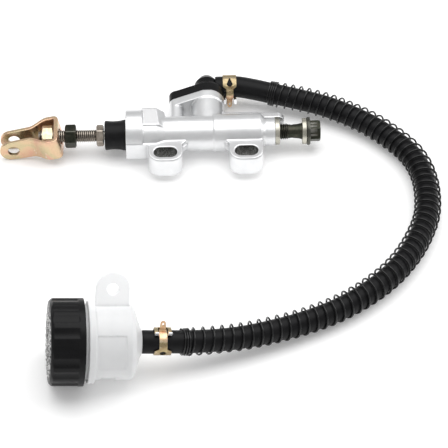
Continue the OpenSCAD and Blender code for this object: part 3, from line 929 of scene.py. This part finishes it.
def spring_guard(path):
    """Coiled wire guard: close-wound at its ends and lying loose on the hose between them."""
    ends = (HOSE_KNOTS[GUARD_FIRST], HOSE_KNOTS[GUARD_LAST])
    first, last = (min(range(len(path)), key=lambda i: (path[i] - end).length) for end in ends)
    run = path[first:last + 1]
    total = lengths_along(run)[-1]
    closed_turns, open_pitch = 3.5, 5.55
    closed_run = closed_turns * WIRE_R * 2.1
    open_turns = (total - 2 * closed_run) / open_pitch
    turns = open_turns + 2 * closed_turns
    clearance = 0.34
    radius = GUARD_R - WIRE_R - clearance

    def turn_at(t):
        """The pitch grows slowly along the guard, and the coils lie a little above the hose."""
        turn = t * turns
        if turn < closed_turns:
            distance = turn / closed_turns * closed_run
        elif turn > turns - closed_turns:
            distance = total - (turns - turn) / closed_turns * closed_run
        else:
            share = (turn - closed_turns) / open_turns
            distance = closed_run + open_pitch * open_turns * (share - 0.06 * share * (1 - share))
        end = min(turn, turns - turn) / closed_turns
        tight = radius - 0.45 * max(0, 1 - end) ** 0.5
        wander = 0.22 * math.sin(turn * 0.9) + 0.15 * math.sin(turn * 2.3 + 1)
        loose = min(max(end - 1, 0), 1)
        return distance / total, tight + loose * 0.1 * wander, TURN * turn, 0.56 * loose

    rings = coil(run, turn_at, WIRE_R, turns, 26, 8)
    piece = join_meshes("spring_guard_wire", [loft_rings(rings)], "black_wire", 60)
    return place_piece(piece, "root", "spring_guard")


# ---- Hose clamps --------------------------------------------------------

# Middles of the clamps: along X by the elbow, and along the reservoir's axis by the bowl
INLET_CLAMP_X, RES_CLAMP_S = 16.5, 65.7


def arc_path(a0, a1, step=4):
    """Places and outward directions along the band, at angles in degrees."""
    count = max(int(abs(a1 - a0) / step), 1)
    path = []
    for i in range(count + 1):
        a = math.radians(a0 + (a1 - a0) * i / count)
        out = Vector((math.sin(a), math.cos(a)))
        path.append((out * BAND_R, out, math.degrees(a)))
    return path


def ear_path(angle, forward, bend, height):
    """The band's end: it bends outwards from the given angle and stands up."""
    a = math.radians(angle)
    out = Vector((math.sin(a), math.cos(a)))
    along = Vector((math.cos(a), -math.sin(a))) * forward
    path = []
    for i in range(1, 7):
        t = math.radians(15 * i)
        place = out * (BAND_R + bend * (1 - math.cos(t))) + along * bend * math.sin(t)
        path.append((place, out * math.cos(t) - along * math.sin(t), 0))
    for i in range(1, 21):
        place = out * (BAND_R + bend + (height - bend) * i / 20) + along * bend
        path.append((place, -along, i / 20))
    return path


def strip(name, rows, place, slot, look):
    """Sheet-metal strip; each row is (place, outward direction, half width, half of its hole)."""
    parts = []
    for side in (-1, 1):
        points, faces = [], []
        for spot, out, half, hole in rows:
            for width, lift in ((hole, 1), (half, 1), (half, -1), (hole, -1)):
                across = spot + out * lift * BAND_T / 2
                points.append(place(side * width, across))
        for i in range(len(rows) - 1):
            for k in range(4):
                if k == 3 and rows[i][3] < 0.01 and rows[i + 1][3] < 0.01:
                    continue
                a, b = 4 * i + k, 4 * i + (k + 1) % 4
                faces.append((a, b, b + 4, a + 4))
        last = 4 * (len(rows) - 1)
        faces += [(0, 3, 2, 1), (last, last + 1, last + 2, last + 3)]
        parts.append((points, faces))
    piece = join_meshes(name, parts, slot, 40)
    bevel = piece.modifiers.new("bevel", "BEVEL")
    bevel.width, bevel.segments, bevel.limit_method = 0.00016, 2, "ANGLE"
    bevel.angle_limit = math.radians(50)
    bpy.context.view_layer.update()
    apply_modifiers(piece)
    finish_piece(piece, slot, 40, look)
    return piece


def ease(t):
    t = min(max(t, 0), 1)
    return t * t * (3 - 2 * t)


def hose_clamp(node, place, width):
    """Spring band clamp: a strap with a teardrop hole, its tongue and ear, and two prongs."""
    half, tongue, fork = width / 2, 2.3, 2.7
    # Where each feature starts, in degrees round the band from its ear
    strap_start, flare_start, window_start, lap_start, fork_start = 60, 92, 106, 325, 338
    prong_start, strap_end = 384, 388

    def strap_half(angle):
        return tongue + (half - tongue) * ease((angle - flare_start) / 16)

    def strap_hole(angle):
        """A teardrop window, widest near its start, and then the gap between the prongs."""
        t = (angle - window_start) / 50
        if 0 < t < 1:
            return 1.9 * math.sqrt(t / 0.22) if t < 0.22 else 1.9 * (1 - (t - 0.22) / 0.78)
        if angle > fork_start:
            return fork * ease((angle - fork_start) / 3)
        return 0

    def ear_half(share):
        return 1.9 - 0.5 * share - 0.9 * max(0, (share - 0.75) / 0.25) ** 2

    def ear_hole(share):
        return 0.6 * max(0, 1 - abs(share - 0.62) / 0.14) ** 0.5

    rows = [(p, n, ear_half(t), ear_hole(t)) for p, n, t in reversed(ear_path(0, -1, 0.7, 6.1))]
    rows += [(p, n, tongue, 0) for p, n, _ in arc_path(0, strap_start)]
    pieces = [strip(node + "_ear", rows, place, "yellow_zinc", "copper_zinc")]
    rows = [(p * (1 + 0.11 * ease((a - lap_start) / 10)), n, strap_half(a), strap_hole(a))
            for p, n, a in arc_path(strap_start, strap_end, 2)]
    pieces.append(strip(node + "_strap", rows, place, "yellow_zinc", "clamp_zinc"))
    path = arc_path(prong_start, strap_end) + ear_path(strap_end, 1, 0.8, 3.4)
    rows = [(p * (1 + 0.8 / p.length), n, (half - fork) / 2, 0) for p, n, _ in path]
    for side, hand in ((-1, "left"), (1, "right")):
        def prong_place(x, across, side=side):
            return place(x + side * (half + fork) / 2, across)

        name = f"{node}_prong_{hand}"
        pieces.append(strip(name, rows, prong_place, "yellow_zinc", "bright_zinc"))
    for piece in pieces:
        place_piece(piece, "root", node)
    return pieces


def inlet_clamp_place(x, across):
    """Point of the clamp by the elbow, whose ear points down, a little to the front."""
    middle = HOSE_KNOTS[1]
    angle = math.radians(152) - math.atan2(across.x, across.y)
    r = across.length
    return (INLET_CLAMP_X + x, middle.y - r * math.sin(angle), middle.z + r * math.cos(angle))


def reservoir_clamp_place(x, across):
    """Point of the clamp by the bowl, whose ear is turned a little back from the top."""
    angle = math.atan2(across.x, across.y) - math.radians(18)
    r = across.length
    return on_reservoir(RES_CLAMP_S + x, r * math.sin(angle), r * math.cos(angle))


# ---- Reservoir cap ------------------------------------------------------

def on_reservoir(s, side, up):
    """Point at a station on the reservoir's axis, offset to its side and upwards."""
    return tuple(RES_ORIGIN + RES_AXIS * s + RES_SIDE * side + RES_UP * up)


def cap_knurl():
    """Raised diamonds all over the cap's end disc."""
    sides, rows = 84, 18
    first, last = 1.5, 20.9
    face, rise = 0.85, 0.35
    points, faces = [], []
    for i in range(rows + 1):
        r = first + (last - first) * i / rows
        for k in range(sides):
            a = TURN * (k + 0.5 * (i % 2)) / sides
            peak = (i % 2 == 1 and k % 2 == 0) or (i % 4 == 2 and k % 3 == 0)
            s = face - rise if peak else face
            points.append(on_reservoir(s, r * math.sin(a), r * math.cos(a)))
    for i in range(rows):
        for k in range(sides):
            a, b = i * sides + k, i * sides + (k + 1) % sides
            c, d = b + sides, a + sides
            faces += [(a, b, c), (a, c, d)] if i % 2 else [(a, b, d), (b, c, d)]
    piece = make_object("reservoir_cap_knurl", points, faces, "black_plastic", 10,
                        "knurled_plastic")
    return place_piece(piece, "cap_body", "reservoir_cap")


# ---- Build --------------------------------------------------------------

add_camera()
MATERIALS = {maker.__name__: maker() for maker in MAKERS}
add_studio()

hose, hose_path, hose_length = feed_hose()
guard = spring_guard(hose_path)

SOFTENED = [  # nodes, body, slot, voxel in mm, smoothing rounds, share of faces kept
    (["cylinder_body"], "root", "cast_aluminium", 0.4, 5, 0.5),
    (["inlet_elbow"], "root", "black_plastic", 0.3, 6, 0.5),
    (["clevis"], "clevis_body", "yellow_zinc", 0.25, 5, 0.5),
    (["reservoir", "reservoir_tab"], "root", "translucent_plastic", 0.4, 6, 0.5),
    (["reservoir_cap"], "cap_body", "black_plastic", 0.35, 5, 0.5),
]
for nodes, body, slot, voxel, rounds, keep in SOFTENED:
    place_piece(softened(nodes, slot, voxel, rounds, keep), body, *nodes)
cap_knurl()

pushrod()
hex_nut("jam_nut", "jam_nut_body", "olive_zinc", 22.4)
hex_nut("clevis_nut", "clevis_nut_body", "pale_gold_zinc", 0)
banjo_bolt()
crush_washer("inner_crush_washer", "root")
crush_washer("outer_crush_washer", "outer_washer_body")
elbow_screw()
return_spring()
dust_boot()

# CAD nodes shown as they are, and their materials
KEPT = {"piston": "anodised_aluminium", "primary_cup": "black_rubber",
        "secondary_cup": "black_rubber", "stop_washer": "bright_zinc",
        "circlip": "spring_steel", "inlet_oring": "black_rubber", "diaphragm": "black_rubber",
        "diaphragm_plate": "white_plastic"}
for node, slot in KEPT.items():
    materials = frame["nodes"][node].data.materials
    materials.clear()
    materials.append(MATERIALS[slot])

clamps = hose_clamp("inlet_hose_clamp", inlet_clamp_place, 8.6)
clamps += hose_clamp("reservoir_hose_clamp", reservoir_clamp_place, 9.8)
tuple(HOSE_ROUTE[0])
[p * MM for p in hose_path]
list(clamps)
